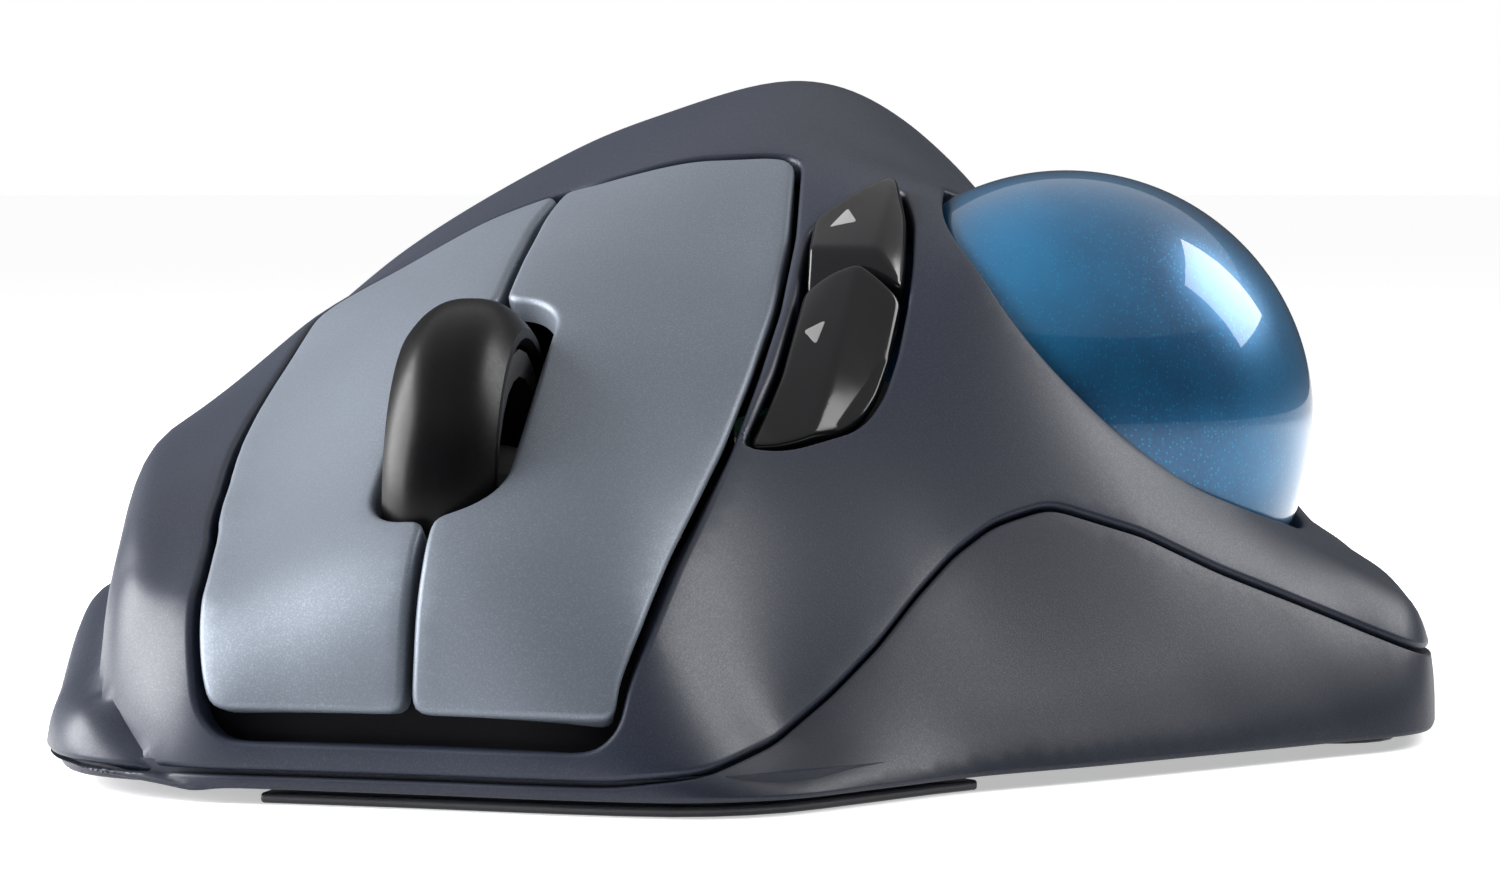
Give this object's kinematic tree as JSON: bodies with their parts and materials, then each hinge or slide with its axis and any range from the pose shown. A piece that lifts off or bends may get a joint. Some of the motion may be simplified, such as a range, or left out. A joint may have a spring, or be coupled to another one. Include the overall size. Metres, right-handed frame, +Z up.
{
  "type": "trackball mouse",
  "caption": "Thumb-operated wireless trackball mouse: a sculpted right-hand shell with a large ball in a side socket, two keys, a scroll wheel and two small side buttons.",
  "frame": {"origin": "on the desk, below the middle of the mouse's box", "axes": "+Y from the front lip to the palm, +X towards the thumb side with the ball, +Z up"},
  "size_m": [0.095, 0.1449, 0.0446],
  "materials": {
    "shell": "dark slate satin plastic with a fine speckle",
    "base": "dark slate satin plastic",
    "key": "silver-grey satin with a fine metallic sparkle",
    "gloss_black": "polished black",
    "rubber": "satin black rubber",
    "ball": "deep blue pearl under a clear coat",
    "steel": "plain",
    "ceramic": "polished ceramic",
    "board": "coated circuit board",
    "chip": "moulded black resin",
    "clear": "clear polycarbonate",
    "inner": "moulded, as tooled",
    "battery": "plain sleeve",
    "switch": "moulded"
  },
  "bodies": {
    "housing": {"top_shell": "shell", "bottom_shell": "base", "ball_socket": "inner", "bearing_ball_1": "ceramic", "bearing_ball_2": "ceramic", "bearing_ball_3": "ceramic", "sensor_lens": "clear", "sensor_chip": "chip", "sensor_board": "board", "main_board": "board", "control_chip": "chip", "front_board": "board", "side_board": "board", "switch_right": "switch", "switch_left": "switch", "switch_middle": "switch", "switch_forward": "switch", "switch_back": "switch", "battery": "battery", "contact_plate": "steel", "contact_spring": "steel", "receiver": "inner", "power_switch_body": "switch", "foot_front": "rubber", "foot_thumb": "rubber", "foot_rear_thumb": "rubber", "foot_rear_pinky": "rubber", "foot_pinky": "rubber", "screw_1": "steel", "screw_2": "steel", "screw_3": "steel", "screw_4": "steel", "screw_5": "steel"},
    "left_key": {"left_button": "key"},
    "right_key": {"right_button": "key"},
    "wheel_mount": {"wheel_carrier": "inner", "wheel_encoder": "switch"},
    "wheel": {"wheel_tyre": "rubber", "wheel_hub": "inner", "wheel_axle": "steel"},
    "ball": {"trackball": "ball"},
    "forward_key": {"forward_button": "gloss_black"},
    "back_key": {"back_button": "gloss_black"},
    "door": {"battery_door": "base"},
    "power_knob": {"power_switch_knob": "gloss_black"}
  },
  "joints": [
    {"name": "left_click", "type": "hinge", "parent": "housing", "child": "left_key", "pos_m": [-0.0042, -0.018, 0.033], "axis": [1, 0, 0], "range_deg": [0, 0.6], "stiffness_Nm_per_rad": 1.4},
    {"name": "right_click", "type": "hinge", "parent": "housing", "child": "right_key", "pos_m": [-0.021, -0.018, 0.033], "axis": [1, 0, 0], "range_deg": [0, 0.6], "stiffness_Nm_per_rad": 1.4},
    {"name": "wheel_press", "type": "slide", "parent": "housing", "child": "wheel_mount", "axis": [0, 0, -1], "range_m": [0, 0.0003], "stiffness_N_per_m": 1500},
    {"name": "wheel_spin", "type": "hinge", "parent": "wheel_mount", "child": "wheel", "pos_m": [-0.0126, -0.05, 0.0174], "axis": [1, 0, 0], "continuous": true},
    {"name": "ball_roll", "type": "hinge", "parent": "housing", "child": "ball", "pos_m": [0.0223, -0.0165, 0.021], "axis": [1, 0, 0], "continuous": true},
    {"name": "forward_press", "type": "slide", "parent": "housing", "child": "forward_key", "axis": [-0.3015, 0.3015, -0.9045], "range_m": [0, 0.0005], "stiffness_N_per_m": 1200},
    {"name": "back_press", "type": "slide", "parent": "housing", "child": "back_key", "axis": [-0.3015, 0.3015, -0.9045], "range_m": [0, 0.0005], "stiffness_N_per_m": 1200},
    {"name": "door_swing", "type": "hinge", "parent": "housing", "child": "door", "pos_m": [-0.0126, -0.0116, 0.001], "axis": [-1, 0, 0], "range_deg": [0, 75]},
    {"name": "power_slide", "type": "slide", "parent": "housing", "child": "power_knob", "axis": [1, 0, 0], "range_m": [0, 0.004]}
  ]
}
